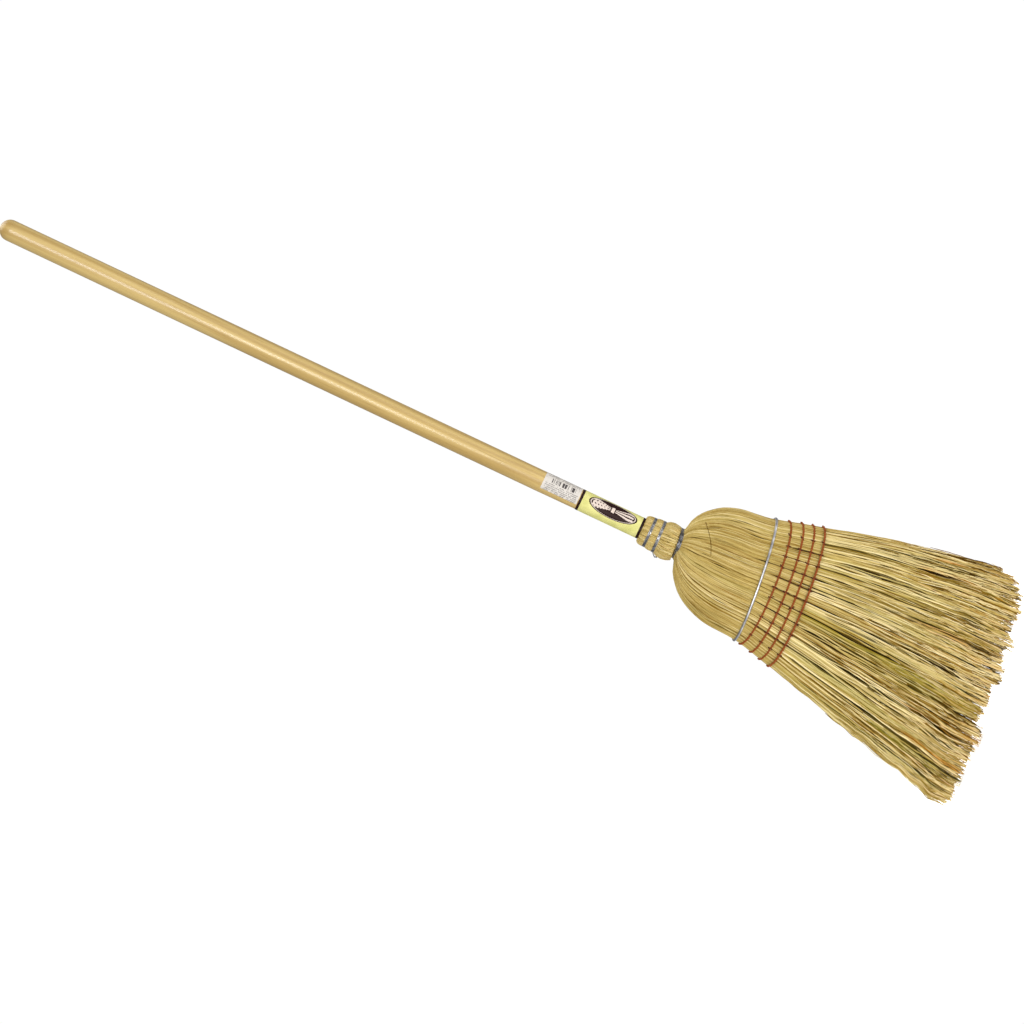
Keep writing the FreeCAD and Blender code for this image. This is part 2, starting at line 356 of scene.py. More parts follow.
def paintSticker():
    # one row of bars of random width, and lines of small random blocks beside it, none of them letters
    p = Paint("stockSticker")
    s = stickerStyle
    low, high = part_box("info_sticker")
    x, y, z = p.axes()
    aside = p.node("ShaderNodeMath", {"operation": "ARCTAN2"}, {0: x, 1: 0 - y}) * high.x
    up = z - low.z
    tall = high.z - low.z
    bars = p.node("ShaderNodeTexWhiteNoise", {"noise_dimensions": "1D"},
                  {"W": (up / s["barPitch"]).floor()})
    inBars = (aside > s["barsFrom"]) * (aside < s["barsTo"]) * (up > tall * 0.14) * (up < tall * 0.82)
    line = aside / s["lines"] + 40.0
    place = p.node("ShaderNodeCombineXYZ", {}, {0: (up / s["word"]).floor(), 1: line.floor(), 2: 0.0})
    words = p.node("ShaderNodeTexWhiteNoise", {"noise_dimensions": "2D"}, {"Vector": place})
    strokes = p.noise(p.scaled(1900, 1900, 1500), 1.0, 1.0)
    withinLine = (line - line.floor()) > 0.45
    inWords = ((aside < s["barsFrom"] - 0.0008).most(aside > s["barsTo"] + 0.001)) * (up > tall * 0.05)
    inWords = inWords * (up < tall * 0.94) * withinLine * (words > 0.22) * strokes.ramp(0.35, 0.6)
    grain = p.noise(p.scaled(220, 220, 220), 1.0, 2.0)
    ink = ((bars > 0.42) * inBars * 0.95).most(inWords * 0.85)
    colour = p.mix(ink, p.mix(grain, s["shade"], s["paper"]), s["ink"])
    return p.finish(colour, 0.55, bump=grain, bumpHeight=0.00004, Specular_IOR_Level=0.3)


# ---- mesh helpers ----
def buildMesh(name, points, faceGroups, values=None):
    # one mesh from an (n, 3) array of points and arrays of equal-sided faces
    mesh = bpy.data.meshes.new(name)
    corners = np.concatenate([g.ravel() for g in faceGroups])
    sizes = np.concatenate([np.full(len(g), g.shape[1]) for g in faceGroups])
    mesh.vertices.add(len(points))
    mesh.vertices.foreach_set("co", points.astype(np.float32).ravel())
    mesh.loops.add(len(corners))
    mesh.loops.foreach_set("vertex_index", corners.astype(np.int32))
    mesh.polygons.add(len(sizes))
    mesh.polygons.foreach_set("loop_start", np.concatenate([[0], np.cumsum(sizes)[:-1]]).astype(np.int32))
    mesh.polygons.foreach_set("use_smooth", np.full(len(sizes), True))
    mesh.update(calc_edges=True)
    for key, value in (values or {}).items():
        attribute = mesh.attributes.new(key, "FLOAT", "POINT")
        attribute.data.foreach_set("value", value.astype(np.float32).ravel())
    piece = bpy.data.objects.new(name, mesh)
    bpy.context.scene.collection.objects.link(piece)
    return piece


def tubes(paths, radii, sides, reference=(0, 1, 0), flat=1.0, turn=0.0):
    # points = path + radius * (cos k * side + flat * sin k * out), k going round each ring of each path
    count, rings, _ = paths.shape
    along = np.gradient(paths, axis=1)
    along /= np.linalg.norm(along, axis=2, keepdims=True)
    side = np.cross(along, np.asarray(reference, float))
    side /= np.linalg.norm(side, axis=2, keepdims=True)
    out = np.cross(along, side)
    k = 2 * np.pi * np.arange(sides) / sides + np.broadcast_to(turn, (count,))[:, None, None]
    ring = np.cos(k)[..., None] * side[:, :, None] + flat * np.sin(k)[..., None] * out[:, :, None]
    points = paths[:, :, None] + radii[:, :, None, None] * ring
    first = np.arange(count * rings).reshape(count, rings) * sides
    here, after = np.arange(sides), (np.arange(sides) + 1) % sides
    low, high = first[:, :-1, None], first[:, 1:, None]
    quads = np.stack([low + here, low + after, high + after, high + here], -1).reshape(-1, 4)
    starts = first[:, 0, None] + here[::-1]
    ends = first[:, -1, None] + here
    return points.reshape(-1, 3), [quads, np.concatenate([starts, ends])]


def joined(parts):
    # several (points, faceGroups, values) as one set, each part's faces moved past the points before it
    points, groups, values, base = [], [], {}, 0
    for somePoints, someGroups, someValues in parts:
        points.append(somePoints)
        groups += [g + base for g in someGroups]
        base += len(somePoints)
        for key, value in someValues.items():
            values.setdefault(key, []).append(value.ravel())
    return np.concatenate(points), groups, {key: np.concatenate(v) for key, v in values.items()}


def throughKnots(knots, values, at):
    # a cubic between knots whose slope at each knot is the harmonic mean of the slopes beside it
    knots, values = np.asarray(knots, float), np.asarray(values, float)
    rises = np.diff(values) / np.diff(knots)
    before, after = np.concatenate([rises[:1], rises]), np.concatenate([rises, rises[-1:]])
    alike = before * after > 0
    slopes = np.where(alike, 2 * before * after / np.where(alike, before + after, 1), 0)
    i = np.clip(np.searchsorted(knots, at) - 1, 0, len(knots) - 2)
    step = knots[i + 1] - knots[i]
    u = (at - knots[i]) / step
    return (values[i] * (1 + 2 * u) * (1 - u) ** 2 + values[i + 1] * u * u * (3 - 2 * u)
            + step * slopes[i] * u * (1 - u) ** 2 + step * slopes[i + 1] * u * u * (u - 1))


def sway(count, distance, wavelength, size, waves=3):
    # a smooth wander: the sum of a few sines along the straw, each with its own length and phase
    length = wavelength * (0.6 + 0.9 * rng.random((count, 1, waves)))
    phase = 2 * np.pi * rng.random((count, 1, waves))
    return size * np.sin(2 * np.pi * distance[..., None] / length + phase).sum(2) / math.sqrt(waves)


# ---- the shape of the head ----
head = {
    "waistZ": 0.468,
    "drop": [-3, 2, 4.5, 12, 25, 45, 70, 100, 117, 140, 185, 215, 260, 320, 380, 425, 468],
    "centre": [2.6, 2.0, 1.4, 1.8, 1.2, 1.9, 1.9, 2.6, 4.0, 4.8, 5.3, 5.7, 5.6, 4.2, 2.2, -1.0, -1.4],
    "halfWidth": [18.8, 20.5, 31, 45.6, 59.6, 71.6, 78.6, 81.2, 84, 90, 101.6, 110, 121.4, 134.6, 146.8, 155,
                  158.2],
    "halfDepth": [18.4, 18.9, 20.6, 26, 29.5, 31.5, 31, 28, 25.5, 22.5, 20.8, 21.6, 24, 27.2, 29.6, 30.8,
                  31.4],
    "tieStep": 0.158,      # ties stand this far apart across the head, as a share of the half width
    "rowDrops": [137.8, 154.1, 168.5, 182.4], "rowRise": 14.5, "rowFall": 2.9,
}


def headAxes(drop):
    # centre, half width and half depth at a drop below the waist, each smooth through its knots
    at = np.asarray(drop) / mm
    return [throughKnots(head["drop"], head[key], at) * mm for key in ("centre", "halfWidth", "halfDepth")]


def onHead(across, through, inset, drop):
    # x = centre + (halfWidth - inset) * across, y = (halfDepth - inset) * through,
    # z = waist - drop + slope * x
    centre, wide, deep = headAxes(drop)
    x = centre + (wide - inset) * across
    y = (deep - inset) * through
    return np.stack([x, y, head["waistZ"] - drop + slope * x], -1)


def rowRise(across):
    # a row climbs towards the edges and slopes less than the trim: rise * (1 - sqrt(1 - u^2)) - fall * u
    curve = 1 - np.sqrt(np.clip(1 - across ** 2, 0, 1))
    return (head["rowRise"] * curve - head["rowFall"] * across) * mm


def evenAngles(count, drop, jitter):
    # angles round the oval section that stand equal lengths apart
    _, wide, deep = headAxes(drop)
    grid = np.linspace(-np.pi, np.pi, 4001)
    steps = np.hypot(wide * np.diff(np.cos(grid)), deep * np.diff(np.sin(grid)))
    length = np.concatenate([[0], np.cumsum(steps)])
    places = (np.arange(count) + jitter * (rng.random(count) - 0.5) + 0.5) / count * length[-1]
    return np.interp(places, length, grid)


# ---- the straws ----
# painted shade: in both tables the tones darken layer by layer inwards, for the shade inside the head
hurl = {   # the thin straws above the last row of stitches, layer by layer
    "insets": [0.7, 1.9, 3.4], "counts": [430, 370, 220], "radii": [0.60, 0.70, 1.0],
    "tones": [0.53, 0.42, 0.15], "radiusSpread": 0.20, "toneSpread": 0.12,
}
skirt = {   # the long straws below it
    "insets": [1.0, 2.5, 4.6], "counts": [320, 280, 225], "radii": [0.74, 0.88, 1.2],
    "tones": [0.62, 0.45, 0.14], "radiusSpread": 0.28, "toneSpread": 0.19,
}
straw = {
    "tieGap": 1.0, "smallGaps": 260, "slits": 90,
    "tufts": 52, "tuftRagged": 3.4, "edgeLump": 1.5,
    # wide gaps: place across, drop where each opens and closes, half width
    "gaps": [(-0.740, 176, 410, 1.9), (0.200, 150, 262, 1.2), (-0.152, 232, 345, 1.5),
             (0.800, 228, 392, 1.35), (0.427, 262, 362, 1.1), (-0.755, 352, 470, 2.3),
             (-0.485, 190, 276, 1.0), (-0.325, 180, 246, 0.9), (0.735, 350, 432, 1.3),
             (0.220, 340, 402, 1.1), (0.320, 396, 462, 1.5), (-0.467, 380, 452, 1.2),
             (0.595, 196, 300, 0.9), (-0.925, 300, 420, 1.0), (-0.030, 380, 440, 1.0),
             (0.055, 280, 340, 0.8)],
    # coloured straws: place across, half width, drop from and to, green, orange
    "accents": [(-0.78, 0.035, 300, 475, 0.95, 0.0), (-0.70, 0.012, 352, 475, 0.1, 0.9),
                (-0.66, 0.05, 190, 330, 0.6, 0.0), (0.30, 0.016, 320, 415, 0.5, 0.75),
                (0.93, 0.012, 320, 370, 0.0, 0.8), (-0.41, 0.014, 425, 475, 0.3, 0.7),
                (0.20, 0.06, 240, 420, 0.4, 0.0), (-0.30, 0.05, 240, 400, 0.35, 0.0),
                (0.72, 0.03, 380, 470, 0.4, 0.2), (0.80, 0.02, 300, 400, 0.3, 0.5)],
}
twigKinds = [   # finer twigs of a lock: how many to a straw, how deep in mm, longest in metres, tone
    (1.2, 3.0, 0.16, 0.60), (1.5, 1.4, 0.075, 0.70), (1.3, 24, 0.2, 0.5),
]
# painted shade: the fill straws are dark to stand for the shade inside a lock
fill = {   # thick dark straws inside a lock: inset and radius of each layer in mm, the drop where they
    # start, how far they stop short of the tips, and the girth that one layer's straws fill
    "layers": [(6.6, 1.6), (9.4, 2.0), (13.0, 2.5), (17.5, 2.8)], "start": 0.187, "short": 0.022,
    "girth": 0.62,
}
bend = {"top": 0.280, "length": 0.376}   # height where the skirt starts to bend, and over what length

# the locks fan out, so a boundary is read at the tips, as the outer side of a lock on either half
lockNodes = [f"skirt_lock_{i:02d}" for i in range(1, 11)]
lockBoxes = [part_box(node) for node in lockNodes]
tipWidth = lockBoxes[-1][1].x
leftEdges = [low.x for low, _ in lockBoxes if low.x < -0.012]
rightEdges = [high.x for _, high in lockBoxes if high.x > 0.004]
lockEdges = np.array(leftEdges + rightEdges)
lockEnds = np.array([head["waistZ"] + slope * left - low.z for left, (low, _) in zip(lockEdges, lockBoxes)])
tieEdges = head["tieStep"] * np.arange(-5, 6)
skirtTop, skirtLength = 0.184, 0.27


def makeClefts():
    # the ties part the straw, and each bundle parts again lower down in one or two places
    edges = [-1.0]
    for low, high in zip([-1.0, *tieEdges], [*tieEdges, 1.0]):
        extra = rng.integers(1, 3)
        share = (np.arange(1, extra + 1) + 0.5 * (rng.random(extra) - 0.5)) / (extra + 1)
        inner = low + (high - low) * share
        edges += [*inner, high]
    return np.array(edges)


def makeGaps():
    # every gap as one row: place, opening drop, closing drop, half width; the ties first, then chance ones
    def chance(count, low, high, shortest, longest, thin, thick):
        start = rng.uniform(low, high, count)
        place = rng.uniform(-0.97, 0.97, count)
        end = start + rng.uniform(shortest, longest, count)
        return np.stack([place, start, end, rng.uniform(thin, thick, count) * mm], 1)

    ties = np.stack([tieEdges, rng.uniform(0.09, 0.13, 11), rng.uniform(0.20, 0.29, 11),
                     straw["tieGap"] * mm * rng.uniform(0.7, 1.3, 11)], 1)
    small = chance(straw["smallGaps"], 0.18, 0.44, 0.03, 0.12, 0.30, 0.90)
    slits = chance(straw["slits"], -0.005, 0.09, 0.014, 0.045, 0.5, 0.95)
    wide = np.array(straw["gaps"]) * [1, mm, mm, mm]
    return np.concatenate([ties, small, slits, wide])


def smooth(t):
    # 3 t^2 - 2 t^3, held at 0 and 1 outside
    t = np.clip(t, 0, 1)
    return t * t * (3 - 2 * t)


clefts = makeClefts()
gapPlace, gapOpen, gapClose, gapHalf = makeGaps().T
bundleTone = rng.normal(0, 0.06, len(clefts))
bundleGreen = np.clip(rng.normal(0.12, 0.16, len(clefts)), 0, 1)
bundleLift = rng.normal(0, 1.0, len(clefts)) * mm
bundleOut = rng.normal(0, 1.5, (2, len(clefts))) * mm
tuftEnd = rng.normal(0, straw["tuftRagged"], (2, straw["tufts"])) * mm
tuftPlace = np.linspace(-1, 1, straw["tufts"]) + rng.normal(0, 0.008, straw["tufts"])


def besideGaps(u, drop, wide):
    # shift = sum over gaps of sign * half width * exp(-distance / reach) while the gap is open, less at the
    # edges of the head, and inside = 1 within an open gap, 0 away from all of them
    away = u[..., None] - gapPlace
    opened = smooth((drop[..., None] - gapOpen) / 0.02) * smooth((gapClose - drop[..., None]) / 0.03)
    shift = np.sign(away) * gapHalf * opened * np.exp(-np.abs(away) / (0.010 + 22 * gapHalf))
    inside = opened * smooth((gapHalf * 1.8 - np.abs(away) * wide[..., None]) / (0.8 * mm) + 0.5)
    return shift.sum(-1) * (1 - u ** 6), inside.max(-1)


def strawTable(spec):
    # one row of numbers for each long straw: angle, inset, radius, tone, luck and its layer
    rows = []
    for layer, count in enumerate(spec["counts"]):
        radius, tone = spec["radii"][layer], spec["tones"][layer]
        rows.append(np.stack([
            evenAngles(count, 0.18, 0.8), (spec["insets"][layer] + rng.normal(0, 0.3, count)) * mm,
            radius * mm * np.clip(rng.normal(1, spec["radiusSpread"], count), 0.55, 1.7),
            np.clip(rng.normal(tone, spec["toneSpread"], count), 0.02, 1.0), rng.random(count),
            np.full(count, layer)]))
    return np.concatenate(rows, 1)


def lockAt(which):
    # the lock that a bundle belongs to, by the place of its middle at the trimmed edge
    return np.clip(np.searchsorted(lockEdges, (clefts[which] + clefts[which + 1]) / 2 * tipWidth) - 1, 0, 9)


def bundleAt(u):
    # the bundle whose two clefts stand on either side of u
    return np.clip(np.searchsorted(clefts, u) - 1, 0, len(clefts) - 2)


angles, insets, widths, tones, lucks, layers = strawTable(skirt)
across, through = np.cos(angles), np.sin(angles)
bundle = bundleAt(across)
lockOf = lockAt(bundle)
print(f"{len(angles)} long straws in {len(clefts) - 1} bundles, {len(gapPlace)} gaps")


def strawPath(u, v, inset, drop, which, wander, crinkle):
    # a straw on the head's surface: moved aside by the gaps, gathered into tufts, wandering more lower down,
    # with a lumpy left edge
    t = np.clip((drop - skirtTop) / skirtLength, 0, 1.1)
    wide = headAxes(drop)[1]
    shift, inside = besideGaps(u + 0 * drop, drop, wide)
    tuft = tuftPlace[np.abs(u - tuftPlace).argmin(1)][:, None]
    gathered = u + (tuft - u) * 0.55 * t ** 3 + shift / wide
    path = onHead(gathered, v, inset, drop)
    side = (v[:, 0] > 0).astype(int)
    edge = smooth((-u - 0.86) / 0.12) * straw["edgeLump"] * mm
    lumps = np.sin(drop / 0.0085 + 1.7) * np.sin(drop / 0.031) + 0.5 * np.sin(drop / 0.0047)
    path[..., 0] -= edge * t ** 0.5 * lumps
    path[..., 1] += bundleOut[side, which][:, None] * t * np.abs(v)
    count = len(which)
    path[..., 0] += sway(count, drop, 0.12, wander) * (0.35 + t) + sway(count, drop, 0.024, crinkle) * t ** 2
    path[..., 1] += sway(count, drop, 0.10, wander) * (0.3 + t) + sway(count, drop, 0.021, crinkle) * t ** 2
    return path, t, inside


def colourValues(u, drop, which, tone, gap, sides, luck):
    # green and orange come from the bundle, the accents and a few chance straws
    count = len(which)
    green = 0 * drop + bundleGreen[which][:, None] * rng.uniform(0.2, 1.8, (count, 1))
    warm = ((luck > 0.98) * 0.5)[:, None] * smooth((drop - 0.2 - 0.15 * rng.random((count, 1))) / 0.05)
    warm = np.maximum(warm, 0.45 * rng.random((count, 1)) ** 2 * smooth((drop - 0.32) / 0.14))
    share = rng.uniform(0.35, 1.0, (count, 1))
    for place, half, low, high, greenish, orange in straw["accents"]:
        within = smooth((drop - low * mm) / 0.02) * smooth((high * mm - drop) / 0.02)
        here = (np.abs(u - place) < half) * within
        green = np.maximum(green, here * greenish * share)
        warm = np.maximum(warm, here * orange * share)
    values = {"tone": tone + 0 * drop, "gap": gap + 0 * drop, "green": green, "warm": warm}
    return {key: np.repeat(value[..., None], sides, 2) for key, value in values.items()}


def endDrop(u, side, cut):
    # where a straw is trimmed: the lock's cut, rounded off at both corners, with the tuft's own raggedness
    tuft = np.abs(u - tuftPlace).argmin(1)
    corner = 0.030 * np.clip((u[:, 0] - 0.86) / 0.14, 0, 1) ** 2
    corner = corner + 0.012 * np.clip((-0.93 - u[:, 0]) / 0.07, 0, 1)
    floorDrop = head["waistZ"] + slope * u[:, 0] * tipWidth - 0.001
    return np.minimum(cut - corner + tuftEnd[side, tuft], floorDrop)[:, None]


def makeHurl(name, node, front):
    # the straws of one face, from under the waist wire to the last row of stitches
    rings, sides = 26, 5
    table = strawTable(hurl)
    angle, inset, width, tone, luck, layer = table[:, np.sign(np.sin(table[0])) == (-1 if front else 1)]
    u, v, which = np.cos(angle)[:, None], np.sin(angle)[:, None], bundleAt(np.cos(angle))
    end = head["rowDrops"][-1] * mm - rowRise(u)
    start = -4.5 * mm
    drop = start + (end - start) * np.linspace(0, 1, rings)[None, :] ** 1.5
    free = np.clip(drop / 0.05, 0, 1) * np.clip((end - drop) / 0.03, 0, 1)
    path, _, inside = strawPath(u, v, inset[:, None], drop, which, 1.0 * mm * free, 0)
    radii = width[:, None] * np.interp(drop, [0, 0.02, 0.2], [0.75, 0.9, 1.05])
    points, groups = tubes(path, radii, sides, turn=6.28 * luck)
    # painted shade: inside an open gap the deeper layers go dark
    gap = inside * np.interp(layer, [0, 1, 2], [0.0, 0.75, 1.0])[:, None]
    values = colourValues(u, drop, which, tone[:, None], gap, sides, luck * 0.985)
    values["green"] = values["green"] * 0.35
    parts = [(points, groups, values)] + ([strayFibre()] if front else [])
    finishPiece(buildMesh(name, *joined(parts)), "corn_straw", headStraw, "handle_head", node)


def strayFibre():
    # one loose dark fibre lying slantwise on the front of the right shoulder
    s = np.linspace(0, 1, 24)
    x = (6.8 + 36.2 * s) * mm
    z = (424 + 24 * s - 3 * np.sin(np.pi * s)) * mm
    drop = head["waistZ"] - z + slope * x
    centre, wide, deep = headAxes(drop)
    y = -(deep + 0.25 * mm) * np.sqrt(1 - ((x - centre) / wide) ** 2)
    points, groups = tubes(np.stack([x, y, z], -1)[None], np.full((1, 24), 0.42 * mm), 5)
    none = np.zeros(len(points))
    return points, groups, {"tone": none + 0.16, "gap": none + 0.25, "green": none, "warm": none}


def finishPiece(piece, slot, material, body, *nodes):
    # its material, its body if it has one, its slot, which is not used, and the CAD nodes that it stands for
    piece.data.materials.append(material)
    if body:
        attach(piece, body)
    if nodes:
        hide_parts(*nodes)


def lockStraws(lock):
    # the long straws of one lock, from the last stitches to the trimmed edge; four in ten end higher
    rings, sides = 30, 6
    pick = np.flatnonzero(lockOf == lock)
    u, v, count = across[pick][:, None], through[pick][:, None], len(pick)
    start = head["rowDrops"][-1] * mm - rowRise(u)
    end = endDrop(u, (v[:, 0] > 0).astype(int), lockEnds[lock] + bundleLift[bundle[pick]])
    short = rng.random((count, 1)) < 0.4
    end = end - np.where(short, 0.16 * rng.random((count, 1)), 0.006 * rng.random((count, 1)))
    drop = start + (end - start) * np.linspace(0, 1, rings)[None, :]
    leave = np.clip((drop - start) / 0.03, 0, 1)
    path, t, inside = strawPath(u, v, insets[pick][:, None], drop, bundle[pick], 1.1 * mm * leave, 0.5 * mm)
    taper = np.interp((drop - start) / (end - start), [0, 0.4, 0.9, 1], [0.95, 0.9, 0.75, 0.65])
    radii = widths[pick][:, None] * taper
    points, groups = tubes(path, radii, sides, turn=6.28 * lucks[pick])
    own = (tones[pick] + bundleTone[bundle[pick]])[:, None]
    tone = own - 0.08 * t + 0.22 * smooth((t - 0.88) / 0.1)
    # painted shade: inside an open gap the deeper layers go dark
    gap = inside * np.interp(layers[pick], [0, 1, 2], [0.0, 0.75, 1.0])[:, None]
    return points, groups, colourValues(u, drop, bundle[pick], tone, gap, sides, lucks[pick])


def lockTwigs(lock, count, deep, longest, tone):
    # finer twigs that leave the straws part way down, drift off sideways and crinkle to the tips
    rings, sides = 14, 4
    mine = np.flatnonzero(lockOf == lock)
    pick = mine[rng.integers(0, len(mine), int(count * len(mine)))]
    count = len(pick)
    u = across[pick][:, None] + rng.normal(0, 0.012, (count, 1))
    v = through[pick][:, None]
    cut = endDrop(u, (v[:, 0] > 0).astype(int), lockEnds[lock] + bundleLift[bundle[pick]])
    start = skirtTop + skirtLength * (0.10 + 0.75 * rng.random((count, 1)) ** 0.75)
    end = np.minimum(cut - 0.007 * rng.random((count, 1)) ** 2,
                     start + longest * rng.uniform(0.5, 1.0, (count, 1)))
    s = np.linspace(0, 1, rings)[None, :]
    drop = start + (end - start) * s
    inset = insets[pick][:, None] * rng.random((count, 1))
    inset = inset + (deep * rng.random((count, 1)) ** 1.3 - 0.3) * mm
    path, t, inside = strawPath(u, v, inset, drop, bundle[pick], 0.8 * mm, 0.6 * mm)
    path[..., 0] += rng.normal(0, 1.7, (count, 1)) * mm * (s - 0.3) * (0.5 + t)
    path[..., 1] += rng.normal(0, 0.8, (count, 1)) * mm * s
    radii = rng.uniform(0.34, 0.66, (count, 1)) * mm * np.interp(s, [0, 0.15, 1], [0.4, 1, 0.85])
    points, groups = tubes(path, radii, sides, turn=6.28 * rng.random(count))
    own = np.clip(rng.normal(tone, 0.30, (count, 1)), 0.0, 1.1) + bundleTone[bundle[pick]][:, None]
    # painted shade: deeper twigs are darker except near the tips, and go dark inside an open gap
    depthShade = np.clip(inset / mm - 0.6, 0, 4) * (1 - smooth((t - 0.86) / 0.1))
    own = own - 0.10 * depthShade + 0.10 * t ** 3
    gap = inside * smooth((inset - 1.6 * mm) / mm)
    return points, groups, colourValues(u, drop, bundle[pick], own, gap, sides, rng.random(count))


def lockFill(lock):
    # thicker straws inside the lock, which close the view through it, dark as painted shade
    rings, sides = 10, 5
    parts = []
    for inset, radius in fill["layers"]:
        angle = evenAngles(int(fill["girth"] / (2.0 * radius * mm)), 0.3, 0.5)
        which = bundleAt(np.cos(angle))
        keep = lockAt(which) == lock
        u, v, which = np.cos(angle)[keep][:, None], np.sin(angle)[keep][:, None], which[keep]
        count = len(which)
        if not count:
            continue
        end = lockEnds[lock] - (fill["short"] + 0.03 * rng.random((count, 1)))
        drop = fill["start"] + (end - fill["start"]) * np.linspace(0, 1, rings)[None, :]
        path = onHead(u + 0 * drop, v, inset * mm, drop)
        path[..., 0] += sway(count, drop, 0.12, 0.8 * mm)
        radii = radius * mm * np.interp(drop / end, [0, 0.9, 1], [1, 1, 0.5])
        points, groups = tubes(path, radii, sides)
        tone = np.clip(rng.normal(0.08, 0.07, (count, 1)), 0, 1)
        values = colourValues(u, drop, which, tone, 0 * drop + 0.8, sides, np.zeros(count))
        parts.append((points, groups, values))
    return joined(parts)


def makeLock(lock):
    # straws, twigs and fill as one mesh
    parts = [lockStraws(lock), *[lockTwigs(lock, *kind) for kind in twigKinds], lockFill(lock)]
    points, groups, values = joined(parts)
    piece = buildMesh(f"straw_lock_{lock + 1:02d}", points, groups, values)
    bend["length"] * slope
    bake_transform(piece)
    finishPiece(piece, "corn_skirt", skirtStraw, None, lockNodes[lock])
    return len(points)


headStraw = paintStraw("headStraw")
skirtStraw = paintStraw("skirtStraw")
makeHurl("hurl_straw_front", "hurl_front", True)
makeHurl("hurl_straw_back", "hurl_back", False)
print("hurl made")
print("ten locks of straw made,", sum(makeLock(lock) for lock in range(10)), "points")

# ---- collar ----
collar = {
    # count, stalk radius, inset, rings, sides, tone
    "stalks": [(118, 0.80, 0.75, 30, 5, 0.64), (60, 1.5, 2.6, 14, 5, 0.40), (170, 0.40, 0.25, 30, 4, 0.60)],
    "height": [469.0, 473.2, 477, 482, 488, 492.4, 495, 497.6, 500.5, 505.4, 508, 510.6, 513, 516, 519.5],
    "outline": [21.6, 23.4, 24.5, 25.0, 24.2, 21.9, 20.8, 21.5, 21.7, 20.6, 19.4, 20.4, 20.2, 19.7, 17.4],
    "top": 519.3, "bottom": 471.2, "bottomRadius": 21.5,
}


def collarPath(angle, inset, heights):
    # r = outline(height) - inset, carried round the stick
    r = throughKnots(collar["height"], collar["outline"], heights / mm) * mm - inset
    return np.stack([r * np.cos(angle), r * np.sin(angle), heights], -1)


def makeCollar():
    # cut stalk ends: uneven at the top, trimmed on the slant at the bottom
    parts = []
    for count, radius, inset, rings, sides, tone in collar["stalks"]:
        angle = 2 * np.pi * (np.arange(count)[:, None] + 0.5 * rng.random((count, 1))) / count
        top = (collar["top"] - 2.2 * rng.random((count, 1)) ** 2) * mm
        low = (collar["bottom"] + 0.5 * rng.normal(size=(count, 1))) * mm
        low = low + collar["bottomRadius"] * mm * slope * np.cos(angle)
        heights = top + (low - top) * np.linspace(0, 1, rings)[None, :]
        lean = sway(count, heights, 0.05, 0.035)
        path = collarPath(angle + lean, inset * mm + sway(count, heights, 0.02, 0.22 * mm), heights)
        thick = radius * mm * rng.uniform(0.85, 1.15, (count, 1)) * np.ones((1, rings))
        points, groups = tubes(path, thick, sides)
        own = rng.normal(tone, 0.08, (count, 1)) + 0.06 * np.sin(heights / 0.004 + 40 * angle) + 0 * heights
        warm = (rng.random((count, 1)) > 0.9) * 0.3 + 0 * own
        values = {"tone": own, "gap": 0 * own, "green": 0 * own, "warm": warm}
        values = {key: np.repeat(value[..., None], sides, 2) for key, value in values.items()}
        parts.append((points, groups, values))
    piece = buildMesh("collar_straw", *joined(parts))
    finishPiece(piece, "corn_stalks", stalkStraw, "handle_head", "collar_stalks")


stalkStraw = paintStraw("stalkStraw")
makeCollar()
print("collar made")

# ---- wires ----
neckWires = {   # millimetres and degrees: tilt rises to the right, lean to the back
    "neck_wire_upper": {"z": 508.2, "radius": 20.9, "centre": 0.0, "tilt": -1.0, "lean": 0.0, "turns": 3.15},
    "neck_wire_middle": {"z": 495.0, "radius": 22.3, "centre": 0.0, "tilt": 0.5, "lean": 0.0, "turns": 3.15,
                         "tail": [(-20.6, -4.5, 493.8), (-23.2, -3.2, 493.2), (-26.8, 0.8, 488.2)]},
    "neck_wire_waist": {"z": 468.0, "radius": 20.8, "centre": 3.0, "tilt": 5.5, "lean": 2.5, "turns": 4.15},
}
neckWireSize = {"radius": 0.66, "pitch": 1.34}


def makeNeckWire(node):
    # a coil: x = centre + R cos a, y = R sin a, z = height + pitch * a / 2 pi + tilt * x + lean * y
    w = neckWires[node]
    a = np.linspace(0, 2 * np.pi * w["turns"], 193) + 0.9
    thick = neckWireSize["radius"] * mm
    r = w["radius"] * mm - thick
    x = w["centre"] * mm + r * np.cos(a)
    rise = neckWireSize["pitch"] * mm * ((a - a[0]) / (2 * np.pi) - w["turns"] / 2)
    y = r * np.sin(a)
    tilt, lean = math.tan(math.radians(w["tilt"])), math.tan(math.radians(w["lean"]))
    z = w["z"] * mm + rise + (x - w["centre"] * mm) * tilt + y * lean
    path = np.stack([x, y, z], -1)[None]
    points, groups = tubes(path, np.full(path.shape[:2], thick), 8, reference=(0, 0, 1))
    parts = [(points, groups, {})]
    if "tail" in w:
        s = np.linspace(0, 1, 12)[:, None]
        start, bend, tip = np.array(w["tail"]) * mm
        points, groups = tubes(((1 - s) ** 2 * start + 2 * s * (1 - s) * bend + s * s * tip)[None],
                               np.full((1, 12), thick), 8)
        parts.append((points, groups, {}))
    piece = buildMesh(node.replace("wire", "coil"), *joined(parts))
    finishPiece(piece, "steel_wire", neckSteel, "handle_head", node)


band = {   # a loop round the shoulders, and its two ends twisted together at the back
    "z": 357.0, "radius": 1.7, "rise": 0.108, "lean": 0.25, "clear": 0.9,
    "endRadius": 1.25, "endTurns": 2.5, "endFrom": -0.13, "endTo": 0.2,
}


